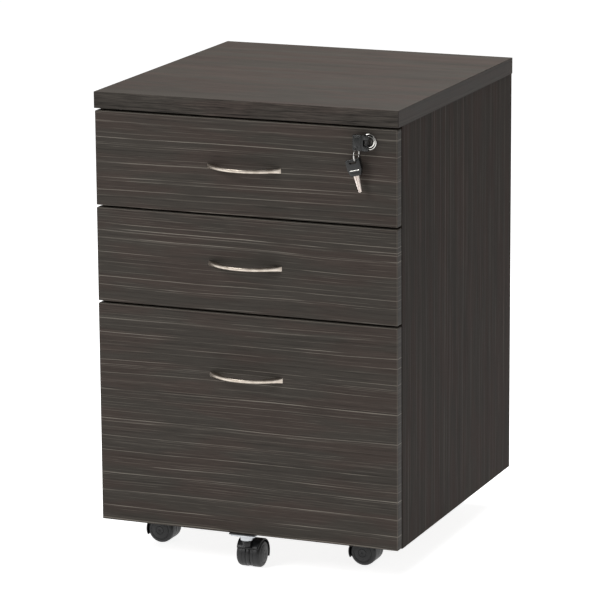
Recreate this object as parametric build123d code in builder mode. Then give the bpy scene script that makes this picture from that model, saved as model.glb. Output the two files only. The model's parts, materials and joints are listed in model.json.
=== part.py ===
from build123d import *
import math
import os

# Rolling pedestal cabinet: a board case with two shallow drawers and one file drawer on
# telescopic runners, a central lock with a folding key, and five twin-wheel casters.
# Millimetres. X runs to the right, Y to the back, Z up. The origin is on the floor, under
# the middle of the box that holds the whole cabinet with its handles.

os.makedirs("parts", exist_ok=True)

# --- Overall sizes ---
HEIGHT = 695.0
TOP_WIDTH = 467.0
DEPTH = 485.0             # faces of the drawer fronts to the back edge
TOP_THICK = 24.0
TOP_OVERHANG = 1.5        # top panel past each side panel
BOARD = 16.0
EDGE_ROUND = 1.0

# --- Drawer fronts ---
REVEAL = 3.5              # gap above each front
SHALLOW_FRONT = 138.0
FRONT_DROP = 1.5          # case underside to the file front's lower edge
BUMPER_GAP = 2.5          # closed front to the case's front edges

# --- Drawer boxes and runners ---
BOX_WALL = 12.0
BOX_BOTTOM = 4.0
GROOVE_DEPTH = 6.0
GROOVE_LIFT = 8.0         # box side's lower edge to its groove
BOX_ABOVE = 33.5          # front's top edge to the box's top edge
BOX_BELOW = 20.5          # front's bottom edge to the box's bottom edge
REAR_ROOM = 33.0          # box back to the case's back panel
RUNNER_THICK = 12.7
RUNNER_SHAKE = 0.3
RUNNER_SHEET = 1.2
RUNNER_NEST = 2.0         # clearance from one runner member to the next
RUNNER_SETBACK = 26.0     # case front edge to the runner's front end
RUNNER_UNDER = 7.5        # shallow box's lower edge to its runner
RUNNER_OVER = 13.5        # shallow box's runner to the lock's catch above it
FILE_RUNNER_LIFT = 90.0   # box's lower edge to the middle of its runner

# --- Handles ---
HANDLE_LENGTH = 114.0
HANDLE_HOLES = 96.0
HANDLE_REACH = 25.0
HANDLE_END_HEIGHT = 9.0
HANDLE_MID_HEIGHT = 4.8
HANDLE_FOOT = 13.0        # solid end of the bow, along the front
HANDLE_MID_THICK = 3.6
FILE_HANDLE_DROP = 91.0   # below the file front's top edge
SCREW_DIAMETER = 4.0
SCREW_HEAD = 9.0
SCREW_HEAD_THICK = 2.2
SCREW_BITE = 6.0          # screw length inside the handle

# --- Lock ---
LOCK_SIDE = 42.0          # lock axis to the front's right edge
LOCK_DROP = 18.5          # lock axis below the front's top edge
BARREL_DIAMETER = 18.0
BARREL_BEHIND = 2.0       # barrel's rear end past the front's back face
ROSETTE_DIAMETER = 23.0
ROSETTE_THICK = 2.5
PLUG_DIAMETER = 12.0
PLUG_PROUD = 0.5
PLUG_CLEARANCE = 0.3
NUT_ACROSS = 24.0
NUT_THICK = 3.0
CAM_DIAMETER = 17.0
CAM_THICK = 1.5
PEG_DIAMETER = 4.5
PEG_RADIUS = 6.0          # lock axis to the peg's axis
PEG_LENGTH = 7.0
PEG_ANGLE = 225.0         # peg at lower left while unlocked, upper left while locked
CAM_GAP = 0.5             # barrel's rear end to the cam
SLOT_CLEARANCE = 0.5

# --- Lock bar ---
BAR_THICK = 2.0
BAR_DEPTH = 16.0
BAR_CLEARANCE = 0.5
BAR_SETBACK = 4.5         # case front edge to the bar
ARM_THICK = 2.5
ARM_WEB = 4.5             # metal below and above the arm's slot
LUG_REACH = 7.5
LUG_HEIGHT = 8.5
LUG_DEPTH = 8.0
LUG_CLEARANCE = 2.5       # lug below its catch while unlocked
CATCH_REACH = 7.0
CATCH_HEIGHT = 10.0
CATCH_DEPTH = 12.0
CATCH_DROP = 8.0          # box top edge to the catch's top
CATCH_GAP = 1.0
BAR_BELOW = 160.0         # top of the lowest lug to the bar's lower end
GUIDE_ROOM = 0.5
GUIDE_WALL = 1.6
GUIDE_LENGTH = 12.0
GUIDE_DROPS = (75.0, 80.0, 100.0)   # each lug's top to the guide below it

# --- Key ---
KEY_STANDOFF = 11.5       # drawer front face to the middle of the key head
KEY_THICK = 6.0
KEY_HEAD_LENGTH = 20.0    # fold axis to the head's far end
KEY_HEAD_HEIGHT = 23.0
KEY_SLOT_HEIGHT = 8.0
KEY_SLOT_DEPTH = 3.8
KEY_BARREL = 3.8          # radius of the head's hinge end
KEY_PIN = 1.8
PIN_CLEARANCE = 0.2
KNUCKLE_RADIUS = 2.6
KNUCKLE_HEIGHT = 7.0
BLADE_WIDTH = 8.5
BLADE_THICK = 2.2
BLADE_IN = 20.0           # length of the blade inside the plug
NECK_WIDTH = 6.6
KEYWAY_CLEARANCE = 0.3
RING_HOLE = 5.0
RING_HOLE_OUT = 15.0      # fold axis to the ring hole
RING_HOLE_DROP = 7.5      # lock axis to the ring hole
RING_RADIUS = 10.0        # middle of the wire
RING_WIRE = 1.6
SPARE_WIDTH = 22.0
SPARE_HEIGHT = 24.0
SPARE_TAPER = 15.0        # lower edge of the spare head
SPARE_SLOT_WIDTH = 12.0
SPARE_SLOT_HEIGHT = 4.0
SPARE_HANG_X = 4.4        # ring to the middle of the spare head, across it
SPARE_HANG_Z = 7.2        # ring to the middle of the spare head, along it
SPARE_TILT = 14.0         # lower end swung to the right
SPARE_BLADE = 24.0
SPARE_BLADE_TIP = 5.4
SPARE_SHOULDER = 0.62     # share of the head above its taper
TANG = 6.0                # length of the blade inside the head

# --- Casters ---
WHEEL_RADIUS = 20.0
CASTER_WIDTH = 40.0
CASTER_TRAIL = WHEEL_RADIUS   # kingpin to the wheels' axle
CASTER_NECK = 17.0        # top of the wheels to the underside of the case
CASTER_WEB = 6.0
WHEEL_GAP = 0.5
AXLE_DIAMETER = 5.0
AXLE_CLEARANCE = 0.1
HOOD_GAP = 1.2
HOOD_WALL = 1.8
HOOD_WIDTH = 37.0
HOOD_LIP_ANGLE = -24.0    # lower end of the hood behind the wheels
HOOD_NOSE_ANGLE = 150.0   # end of the hood beside the kingpin
BOSS_DIAMETER = 12.5
BOSS_BOTTOM = 2 * WHEEL_RADIUS - 4.5
BOSS_TOP = 2 * WHEEL_RADIUS + 5.0
KINGPIN_DIAMETER = 6.0
KINGPIN_CLEARANCE = 0.1
KINGPIN_DEPTH = 8.0
CUP_DIAMETER = 21.0
CUP_GAP = 0.5
CUP_TAPER = 3.0           # cup's lower end smaller than its upper end, in diameter
WEB_LOW = 3.0             # floor to the web between the wheels
AXLE_END = 3.0            # wheel's outer face to the axle's end
SHOULDER_ROUND = 5.0
TREAD_ROUND = 2.5
DOME = 1.6
PLATE_SIZE = 38.0
PLATE_THICK = 2.0
PLATE_HOLES = 28.0        # between screw holes
PLATE_SCREW = 3.5
PLATE_SCREW_LENGTH = 13.0 # inside the bottom panel
PLATE_SCREW_HEAD = 7.0
PLATE_HEAD_THICK = 1.6
CASTER_SPREAD = 162.0     # middle of the case to a caster's kingpin
FRONT_CASTER_BACK = 111.0 # front face to the front casters' kingpins
REAR_CASTER_IN = 55.0     # back edge to the rear casters' kingpins
FIFTH_BACK = 17.0         # front face to the fifth caster's kingpin
FIFTH_SIDE = -9.0         # fifth caster's kingpin beside the middle
BRACKET_WIDTH = 40.0
BRACKET_SHEET = 2.0
BRACKET_HEIGHT = 20.0
FIFTH_CLEARANCE = 0.5     # fifth plate below the case

# --- Small hardware ---
CAM_FITTING_DIAMETER = 15.0
CAM_FITTING_DEPTH = 12.5
CAM_FITTING_INSET = 34.0
CAM_CROSS = 7.0           # cross recess in the fitting's face
CAM_CROSS_WIDTH = 1.5
CAM_CROSS_DEPTH = 2.0
RAIL_THICK = 2.0
RAIL_HEIGHT = 16.0
RAIL_ABOVE = 6.0          # hanging rail above the box sides

# --- Places worked out from the sizes above ---
CASE_LIFT = 2 * WHEEL_RADIUS + CASTER_NECK
CASE_WIDTH = TOP_WIDTH - 2 * TOP_OVERHANG
FACE_Y = -(DEPTH + HANDLE_REACH) / 2 + HANDLE_REACH
FRONT_BACK_Y = FACE_Y + BOARD
CASE_FRONT_Y = FRONT_BACK_Y + BUMPER_GAP
BACK_Y = FACE_Y + DEPTH
INNER_BACK_Y = BACK_Y - BOARD
TOP_UNDER = HEIGHT - TOP_THICK
INNER_X = CASE_WIDTH / 2 - BOARD
FLOOR_Z = CASE_LIFT + BOARD
BOX_X = INNER_X - RUNNER_THICK - RUNNER_SHAKE
BOX_BACK_Y = INNER_BACK_Y - REAR_ROOM
RUNNER_FRONT_Y = CASE_FRONT_Y + RUNNER_SETBACK

TOP_FRONT_TOP = TOP_UNDER - REVEAL
MIDDLE_FRONT_TOP = TOP_FRONT_TOP - SHALLOW_FRONT - REVEAL
FILE_FRONT_TOP = MIDDLE_FRONT_TOP - SHALLOW_FRONT - REVEAL
FILE_FRONT_BOTTOM = CASE_LIFT + FRONT_DROP

SHALLOW_BOX = SHALLOW_FRONT - BOX_ABOVE - BOX_BELOW
RUNNER_HEIGHT = SHALLOW_BOX - CATCH_DROP - CATCH_HEIGHT - RUNNER_UNDER - RUNNER_OVER
SHALLOW_RUNNER_LIFT = RUNNER_UNDER + RUNNER_HEIGHT / 2

# name, front bottom, front top, handle height, runner height above the box's lower edge
DRAWERS = [
    ("top_drawer", TOP_FRONT_TOP - SHALLOW_FRONT, TOP_FRONT_TOP,
     TOP_FRONT_TOP - SHALLOW_FRONT / 2, SHALLOW_RUNNER_LIFT),
    ("middle_drawer", MIDDLE_FRONT_TOP - SHALLOW_FRONT, MIDDLE_FRONT_TOP,
     MIDDLE_FRONT_TOP - SHALLOW_FRONT / 2, SHALLOW_RUNNER_LIFT),
    ("file_drawer", FILE_FRONT_BOTTOM, FILE_FRONT_TOP,
     FILE_FRONT_TOP - FILE_HANDLE_DROP, FILE_RUNNER_LIFT),
]

LOCK_X = CASE_WIDTH / 2 - LOCK_SIDE
LOCK_Z = TOP_FRONT_TOP - LOCK_DROP
PEG_X = LOCK_X + PEG_RADIUS * math.cos(math.radians(PEG_ANGLE))
PEG_Z = LOCK_Z + PEG_RADIUS * math.sin(math.radians(PEG_ANGLE))
BAR_Y = CASE_FRONT_Y + BAR_SETBACK
BAR_X = INNER_X - BAR_CLEARANCE - BAR_THICK


def save(piece, name):
    """Label a finished piece and write it to its own file."""
    piece.part.label = name
    export_step(piece.part, "parts/" + name + ".step")


def save_group(pieces, name):
    """Write pieces that stay separate solids to one file."""
    group = Compound(label=name, children=[piece.part for piece in pieces])
    export_step(group, "parts/" + name + ".step")


def block(x0, x1, y0, y1, z0, z1):
    """Centre and size of a box between two X, two Y and two Z planes."""
    centre = ((x0 + x1) / 2, (y0 + y1) / 2, (z0 + z1) / 2)
    return centre, (x1 - x0, y1 - y0, z1 - z0)


def add_block(x0, x1, y0, y1, z0, z1, mode=Mode.ADD):
    """Add a box to, or cut it from, the part that is being built."""
    centre, size = block(x0, x1, y0, y1, z0, z1)
    with Locations(centre):
        Box(*size, mode=mode)


def plate_holes(pin_x, pin_y):
    """Centres of the four screws of the caster plate around a kingpin."""
    reach = PLATE_HOLES / 2
    return [(pin_x + i * reach, pin_y + j * reach) for i in (-1, 1) for j in (-1, 1)]


# --- Case ---
FRONT_CASTER_Y = FACE_Y + FRONT_CASTER_BACK
REAR_CASTER_Y = BACK_Y - REAR_CASTER_IN
CASE_CASTERS = [(x, y) for y in (FRONT_CASTER_Y, REAR_CASTER_Y)
                for x in (-CASTER_SPREAD, CASTER_SPREAD)]

with BuildPart() as top_panel:
    add_block(-TOP_WIDTH / 2, TOP_WIDTH / 2, FACE_Y, BACK_Y, TOP_UNDER, HEIGHT)
    fillet(top_panel.edges().filter_by(Axis.Z), EDGE_ROUND)
    fillet(top_panel.faces().sort_by(Axis.Z)[-1].edges(), EDGE_ROUND)
save(top_panel, "top_panel")

FITTING_YS = (CASE_FRONT_Y + CAM_FITTING_INSET, INNER_BACK_Y - CAM_FITTING_INSET)
FITTING_ZS = (FLOOR_Z + CAM_FITTING_INSET, TOP_UNDER - CAM_FITTING_INSET / 2)

for side, sign in (("left", -1), ("right", 1)):
    inner_face = Plane(origin=(sign * INNER_X, 0, 0), x_dir=(0, 1, 0), z_dir=(sign, 0, 0))
    with BuildPart() as side_panel:
        inner, outer = sorted((sign * INNER_X, sign * CASE_WIDTH / 2))
        add_block(inner, outer, CASE_FRONT_Y, BACK_Y, CASE_LIFT, TOP_UNDER)
        fillet(side_panel.edges().filter_by(Axis.Z).group_by(Axis.Y)[0], EDGE_ROUND)
        for fitting_y in FITTING_YS:
            for fitting_z in FITTING_ZS:
                with BuildSketch(inner_face):
                    with Locations(inner_face.to_local_coords(Vector(0, fitting_y, fitting_z))):
                        Circle(CAM_FITTING_DIAMETER / 2)
                extrude(amount=CAM_FITTING_DEPTH, mode=Mode.SUBTRACT)
    save(side_panel, side + "_side_panel")

with BuildPart() as back_panel:
    add_block(-INNER_X, INNER_X, INNER_BACK_Y, BACK_Y, CASE_LIFT, TOP_UNDER)
save(back_panel, "back_panel")

with BuildPart() as bottom_panel:
    add_block(-INNER_X, INNER_X, CASE_FRONT_Y, INNER_BACK_Y, CASE_LIFT, FLOOR_Z)
    fillet(bottom_panel.edges().filter_by(Axis.X).group_by(Axis.Y)[0], EDGE_ROUND)
    for pin_x, pin_y in CASE_CASTERS:
        for hole_x, hole_y in plate_holes(pin_x, pin_y):
            with Locations((hole_x, hole_y, CASE_LIFT + PLATE_SCREW_LENGTH / 2)):
                Cylinder(PLATE_SCREW / 2, PLATE_SCREW_LENGTH, mode=Mode.SUBTRACT)
save(bottom_panel, "bottom_panel")

# Cam fittings: discs with a cross slot, flush with the inner faces of the side panels.
with BuildPart() as cam_fittings:
    for sign in (-1, 1):
        face = Plane(origin=(sign * INNER_X, 0, 0), x_dir=(0, 1, 0), z_dir=(sign, 0, 0))
        for fitting_y in FITTING_YS:
            for fitting_z in FITTING_ZS:
                with BuildSketch(face):
                    with Locations(face.to_local_coords(Vector(0, fitting_y, fitting_z))):
                        Circle(CAM_FITTING_DIAMETER / 2)
                extrude(amount=CAM_FITTING_DEPTH)
                with BuildSketch(face):
                    with Locations(face.to_local_coords(Vector(0, fitting_y, fitting_z))):
                        Rectangle(CAM_CROSS, CAM_CROSS_WIDTH)
                        Rectangle(CAM_CROSS_WIDTH, CAM_CROSS)
                extrude(amount=CAM_CROSS_DEPTH, mode=Mode.SUBTRACT)
save(cam_fittings, "cam_fittings")


# --- Drawers ---
def disc(x, z, radius, y_front, y_back, mode=Mode.ADD):
    """Add or cut a cylinder along Y between two Y planes."""
    with BuildSketch(Plane.XZ.offset(-y_back)) as round_face:
        with Locations((x, z)):
            Circle(radius)
    extrude(round_face.sketch, amount=y_back - y_front, mode=mode)


def channel(wall_x, open_sign, depth, height, middle_z):
    """A C channel along Y: its web lies on wall_x and its lips reach to open_sign."""
    web_x = wall_x + open_sign * RUNNER_SHEET
    lip_x = wall_x + open_sign * depth
    web = sorted((wall_x, web_x))
    lips = sorted((wall_x, lip_x))
    low = middle_z - height / 2
    high = middle_z + height / 2
    add_block(*web, RUNNER_FRONT_Y, BOX_BACK_Y, low, high)
    add_block(*lips, RUNNER_FRONT_Y, BOX_BACK_Y, low, low + RUNNER_SHEET)
    add_block(*lips, RUNNER_FRONT_Y, BOX_BACK_Y, high - RUNNER_SHEET, high)


HANDLE_XS = (-HANDLE_HOLES / 2, HANDLE_HOLES / 2)
MIDDLE_HEIGHT = RUNNER_HEIGHT - 2 * (RUNNER_SHEET + RUNNER_NEST)
INNER_HEIGHT = MIDDLE_HEIGHT - 2 * (RUNNER_SHEET + RUNNER_NEST)
CABINET_MEMBER_DEPTH = RUNNER_THICK - RUNNER_SHEET - RUNNER_NEST
MIDDLE_MEMBER_X = INNER_X - RUNNER_SHEET - RUNNER_NEST
MIDDLE_MEMBER_DEPTH = CABINET_MEMBER_DEPTH - RUNNER_NEST - 2 * RUNNER_SHAKE
INNER_MEMBER_DEPTH = RUNNER_THICK - 3 * RUNNER_SHEET - 2 * RUNNER_NEST

for name, front_low, front_high, handle_z, runner_lift in DRAWERS:
    box_low = front_low + BOX_BELOW
    box_high = front_high - BOX_ABOVE
    bottom_low = box_low + GROOVE_LIFT
    bottom_high = bottom_low + BOX_BOTTOM
    catch_high = box_high - CATCH_DROP
    runner_z = box_low + runner_lift

    with BuildPart() as front:
        add_block(-CASE_WIDTH / 2, CASE_WIDTH / 2, FACE_Y, FRONT_BACK_Y, front_low, front_high)
        fillet(front.edges(), EDGE_ROUND)
        for hole_x in HANDLE_XS:
            disc(hole_x, handle_z, SCREW_DIAMETER / 2, FACE_Y, FRONT_BACK_Y, Mode.SUBTRACT)
        if name == "top_drawer":
            disc(LOCK_X, LOCK_Z, BARREL_DIAMETER / 2, FACE_Y, FRONT_BACK_Y, Mode.SUBTRACT)
    save(front, name + "_front")

    with BuildPart() as box_sides:
        for sign in (-1, 1):
            wall = sorted((sign * BOX_X, sign * (BOX_X - BOX_WALL)))
            groove = sorted((sign * (BOX_X - BOX_WALL), sign * (BOX_X - BOX_WALL + GROOVE_DEPTH)))
            add_block(*wall, FRONT_BACK_Y, BOX_BACK_Y, box_low, box_high)
            add_block(*groove, FRONT_BACK_Y, BOX_BACK_Y, bottom_low, bottom_high, Mode.SUBTRACT)
    save(box_sides, name + "_box_sides")

    with BuildPart() as box_back:
        add_block(BOX_WALL - BOX_X, BOX_X - BOX_WALL, BOX_BACK_Y - BOX_WALL, BOX_BACK_Y,
                  bottom_high, box_high)
    save(box_back, name + "_box_back")

    with BuildPart() as box_bottom:
        bottom_x = BOX_X - BOX_WALL + GROOVE_DEPTH
        add_block(-bottom_x, bottom_x, FRONT_BACK_Y, BOX_BACK_Y, bottom_low, bottom_high)
    save(box_bottom, name + "_box_bottom")

    # The handle is a flat bow between two solid feet, waisted towards its middle.
    with BuildPart() as handle:
        half = HANDLE_LENGTH / 2
        inner = half - HANDLE_FOOT
        with BuildSketch(Plane.XY.offset(handle_z - HANDLE_END_HEIGHT / 2)):
            with BuildLine():
                ThreePointArc((-half, FACE_Y), (0, FACE_Y - HANDLE_REACH), (half, FACE_Y))
                Line((half, FACE_Y), (inner, FACE_Y))
                ThreePointArc((inner, FACE_Y), (0, FACE_Y - HANDLE_REACH + HANDLE_MID_THICK),
                              (-inner, FACE_Y))
                Line((-inner, FACE_Y), (-half, FACE_Y))
            make_face()
        extrude(amount=HANDLE_END_HEIGHT)
        with BuildSketch(Plane.XZ.offset(-FACE_Y)):
            with BuildLine():
                for sign in (-1, 1):
                    end_z = handle_z + sign * HANDLE_END_HEIGHT / 2
                    waist_z = handle_z + sign * HANDLE_MID_HEIGHT / 2
                    ThreePointArc((-half, end_z), (0, waist_z), (half, end_z))
                for end_x in (-half, half):
                    Line((end_x, handle_z - HANDLE_END_HEIGHT / 2),
                         (end_x, handle_z + HANDLE_END_HEIGHT / 2))
            make_face()
        extrude(amount=HANDLE_REACH, mode=Mode.INTERSECT)
        for hole_x in HANDLE_XS:
            disc(hole_x, handle_z, SCREW_DIAMETER / 2, FACE_Y - SCREW_BITE, FACE_Y, Mode.SUBTRACT)
    save(handle, name + "_handle")

    with BuildPart() as fasteners:
        for hole_x in HANDLE_XS:
            disc(hole_x, handle_z, SCREW_DIAMETER / 2, FACE_Y - SCREW_BITE, FRONT_BACK_Y)
            disc(hole_x, handle_z, SCREW_HEAD / 2, FRONT_BACK_Y, FRONT_BACK_Y + SCREW_HEAD_THICK)
        catch_y = BAR_Y + (BAR_DEPTH + LUG_DEPTH) / 2 + CATCH_GAP
        add_block(BOX_X, BOX_X + CATCH_REACH, catch_y, catch_y + CATCH_DEPTH,
                  catch_high - CATCH_HEIGHT, catch_high)
        if name == "top_drawer":
            with BuildSketch(Plane.XZ.offset(-FRONT_BACK_Y - NUT_THICK)):
                with Locations((LOCK_X, LOCK_Z)):
                    RegularPolygon(NUT_ACROSS / 2, 6, major_radius=False)
                    Circle(BARREL_DIAMETER / 2, mode=Mode.SUBTRACT)
            extrude(amount=NUT_THICK)
    save(fasteners, name + "_fasteners")

    with BuildPart() as drawer_runners:
        for sign in (-1, 1):
            channel(sign * BOX_X, sign, INNER_MEMBER_DEPTH, INNER_HEIGHT, runner_z)
    save(drawer_runners, name + "_runner_members")

    with BuildPart() as middle_runners:
        for sign in (-1, 1):
            channel(sign * MIDDLE_MEMBER_X, -sign, MIDDLE_MEMBER_DEPTH, MIDDLE_HEIGHT, runner_z)
    save(middle_runners, name + "_middle_members")

with BuildPart() as case_runners:
    for _, front_low, _, _, runner_lift in DRAWERS:
        for sign in (-1, 1):
            channel(sign * INNER_X, -sign, CABINET_MEMBER_DEPTH, RUNNER_HEIGHT,
                    front_low + BOX_BELOW + runner_lift)
save(case_runners, "case_runner_members")

# Hanging rails stand on the inner faces of the file drawer's box sides.
with BuildPart() as file_rails:
    rail_top = FILE_FRONT_TOP - BOX_ABOVE + RAIL_ABOVE
    for sign in (-1, 1):
        rail = sorted((sign * (BOX_X - BOX_WALL), sign * (BOX_X - BOX_WALL - RAIL_THICK)))
        add_block(*rail, FRONT_BACK_Y, BOX_BACK_Y - BOX_WALL, rail_top - RAIL_HEIGHT, rail_top)
save(file_rails, "file_hanging_rails")

# The fifth caster's bracket is bent from sheet: one leg behind the file front, one under it.
LEAF_LOW = FILE_FRONT_BOTTOM - BRACKET_SHEET
FIFTH_Y = FACE_Y + FIFTH_BACK
FIFTH_PLATE_FRONT = FIFTH_Y - PLATE_SIZE / 2
with BuildPart() as fifth_bracket:
    leaf_x = (FIFTH_SIDE - BRACKET_WIDTH / 2, FIFTH_SIDE + BRACKET_WIDTH / 2)
    add_block(*leaf_x, FIFTH_PLATE_FRONT, FRONT_BACK_Y + BRACKET_SHEET, LEAF_LOW, FILE_FRONT_BOTTOM)
    add_block(*leaf_x, FRONT_BACK_Y, FRONT_BACK_Y + BRACKET_SHEET, LEAF_LOW,
              FILE_FRONT_BOTTOM + BRACKET_HEIGHT)
save(fifth_bracket, "fifth_caster_bracket")

# --- Central lock ---
SLOT_HEIGHT = PEG_DIAMETER + 2 * SLOT_CLEARANCE
SLOT_LEFT = LOCK_X - PEG_RADIUS - SLOT_HEIGHT / 2
SLOT_RIGHT = PEG_X + SLOT_HEIGHT / 2
ARM_LOW = PEG_Z - SLOT_HEIGHT / 2 - ARM_WEB
ARM_HIGH = PEG_Z + SLOT_HEIGHT / 2 + ARM_WEB
CATCH_TOPS = [front_high - BOX_ABOVE - CATCH_DROP for _, _, front_high, _, _ in DRAWERS]
LUG_TOPS = [catch_top - CATCH_HEIGHT - LUG_CLEARANCE for catch_top in CATCH_TOPS]
BAR_LOW = LUG_TOPS[-1] - BAR_BELOW
LUG_Y = BAR_Y + (BAR_DEPTH - LUG_DEPTH) / 2

# The bar is a flat strip beside the right side panel. Its arm reaches the lock's peg, and a
# lug under each drawer's catch rises in front of the catch when the bar is lifted.
with BuildPart() as lock_bar:
    add_block(BAR_X, BAR_X + BAR_THICK, BAR_Y, BAR_Y + BAR_DEPTH, BAR_LOW, ARM_HIGH)
    add_block(SLOT_LEFT - ARM_WEB, BAR_X + BAR_THICK, BAR_Y, BAR_Y + ARM_THICK, ARM_LOW, ARM_HIGH)
    with BuildSketch(Plane.XZ.offset(-BAR_Y - ARM_THICK)):
        with Locations(((SLOT_LEFT + SLOT_RIGHT) / 2, PEG_Z)):
            SlotOverall(SLOT_RIGHT - SLOT_LEFT, SLOT_HEIGHT)
    extrude(amount=ARM_THICK, mode=Mode.SUBTRACT)
    for lug_top in LUG_TOPS:
        add_block(BAR_X - LUG_REACH, BAR_X, LUG_Y, LUG_Y + LUG_DEPTH, lug_top - LUG_HEIGHT, lug_top)
save(lock_bar, "lock_bar")

# Plastic guides hold the bar against the side panel, clear of the runners.
GUIDE_ZS = [lug_top - drop for lug_top, drop in zip(LUG_TOPS, GUIDE_DROPS)]
with BuildPart() as bar_guides:
    for guide_z in GUIDE_ZS:
        low = guide_z - GUIDE_LENGTH / 2
        high = guide_z + GUIDE_LENGTH / 2
        add_block(BAR_X - GUIDE_ROOM - GUIDE_WALL, INNER_X, BAR_Y - GUIDE_ROOM - GUIDE_WALL,
                  BAR_Y + BAR_DEPTH + GUIDE_ROOM + GUIDE_WALL, low, high)
        add_block(BAR_X - GUIDE_ROOM, INNER_X, BAR_Y - GUIDE_ROOM,
                  BAR_Y + BAR_DEPTH + GUIDE_ROOM, low, high, Mode.SUBTRACT)
save(bar_guides, "lock_bar_guides")

# --- Lock barrel, plug and folding key ---
ROSETTE_Y = FACE_Y - ROSETTE_THICK
BARREL_BACK_Y = FRONT_BACK_Y + BARREL_BEHIND
BORE_RADIUS = PLUG_DIAMETER / 2 + PLUG_CLEARANCE
with BuildPart() as lock_barrel:
    disc(LOCK_X, LOCK_Z, BARREL_DIAMETER / 2, FACE_Y, BARREL_BACK_Y)
    disc(LOCK_X, LOCK_Z, ROSETTE_DIAMETER / 2, ROSETTE_Y, FACE_Y)
    rim = lock_barrel.edges().filter_by(GeomType.CIRCLE).sort_by(Axis.Y)[0]
    fillet(rim, ROSETTE_THICK / 2)
    disc(LOCK_X, LOCK_Z, BORE_RADIUS, ROSETTE_Y, BARREL_BACK_Y, Mode.SUBTRACT)
save(lock_barrel, "lock_barrel")

PLUG_FACE_Y = ROSETTE_Y - PLUG_PROUD
CAM_Y = BARREL_BACK_Y + CAM_GAP
with BuildPart() as lock_plug:
    disc(LOCK_X, LOCK_Z, PLUG_DIAMETER / 2, PLUG_FACE_Y, CAM_Y)
    disc(LOCK_X, LOCK_Z, CAM_DIAMETER / 2, CAM_Y, CAM_Y + CAM_THICK)
    disc(PEG_X, PEG_Z, PEG_DIAMETER / 2, CAM_Y + CAM_THICK, CAM_Y + CAM_THICK + PEG_LENGTH)
    keyway_x = BLADE_THICK / 2 + KEYWAY_CLEARANCE
    keyway_z = BLADE_WIDTH / 2 + KEYWAY_CLEARANCE
    add_block(LOCK_X - keyway_x, LOCK_X + keyway_x, PLUG_FACE_Y,
              PLUG_FACE_Y + BLADE_IN + KEYWAY_CLEARANCE, LOCK_Z - keyway_z, LOCK_Z + keyway_z,
              Mode.SUBTRACT)
save(lock_plug, "lock_plug")

KEY_Y = FACE_Y - KEY_STANDOFF
with BuildPart() as key_blade:
    half_blade = BLADE_THICK / 2
    add_block(LOCK_X - half_blade, LOCK_X + half_blade, PLUG_FACE_Y, PLUG_FACE_Y + BLADE_IN,
              LOCK_Z - BLADE_WIDTH / 2, LOCK_Z + BLADE_WIDTH / 2)
    fillet(key_blade.edges().filter_by(Axis.X).group_by(Axis.Y)[-1], BLADE_WIDTH / 4)
    add_block(LOCK_X - half_blade, LOCK_X + half_blade, KEY_Y, PLUG_FACE_Y,
              LOCK_Z - NECK_WIDTH / 2, LOCK_Z + NECK_WIDTH / 2)
    with BuildSketch(Plane.XY.offset(LOCK_Z - KNUCKLE_HEIGHT / 2)):
        with Locations((LOCK_X, KEY_Y)):
            Circle(KNUCKLE_RADIUS)
    extrude(amount=KNUCKLE_HEIGHT)
    with BuildSketch(Plane.XY.offset(LOCK_Z - KNUCKLE_HEIGHT / 2)):
        with Locations((LOCK_X, KEY_Y)):
            Circle(KEY_PIN / 2 + PIN_CLEARANCE)
    extrude(amount=KNUCKLE_HEIGHT, mode=Mode.SUBTRACT)
save(key_blade, "key_blade")

# The key head lies folded to the left of the lock. Its forked end straddles the knuckle.
HEAD_LOW = LOCK_Z - KEY_HEAD_HEIGHT / 2
RING_X = LOCK_X - RING_HOLE_OUT
RING_HOLE_Z = LOCK_Z - RING_HOLE_DROP
with BuildPart() as key_head:
    with BuildSketch(Plane.XY.offset(HEAD_LOW)):
        with Locations((LOCK_X - KEY_HEAD_LENGTH / 2, KEY_Y)):
            Rectangle(KEY_HEAD_LENGTH, KEY_THICK)
        with Locations((LOCK_X, KEY_Y)):
            Circle(KEY_BARREL)
    extrude(amount=KEY_HEAD_HEIGHT)
    far_corners = key_head.edges().filter_by(Axis.Y).group_by(Axis.X)[0]
    fillet(far_corners, KEY_THICK / 2)
    add_block(LOCK_X - KEY_SLOT_DEPTH, LOCK_X + KEY_BARREL, KEY_Y - KEY_BARREL, KEY_Y + KEY_BARREL,
              LOCK_Z - KEY_SLOT_HEIGHT / 2, LOCK_Z + KEY_SLOT_HEIGHT / 2, Mode.SUBTRACT)
    with BuildSketch(Plane.XY.offset(LOCK_Z - KEY_SLOT_HEIGHT / 2)):
        with Locations((LOCK_X, KEY_Y)):
            Circle(KEY_PIN / 2)
    extrude(amount=KEY_SLOT_HEIGHT)
    disc(RING_X, RING_HOLE_Z, RING_HOLE / 2, KEY_Y - KEY_THICK / 2, KEY_Y + KEY_THICK / 2,
         Mode.SUBTRACT)
save(key_head, "key_head")

HANG_Z = RING_HOLE_Z - 2 * RING_RADIUS
with BuildPart() as key_ring:
    with Locations(Location((RING_X, KEY_Y, RING_HOLE_Z - RING_RADIUS), (0, 90, 0))):
        Torus(RING_RADIUS, RING_WIRE / 2)
save(key_ring, "key_ring")

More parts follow.
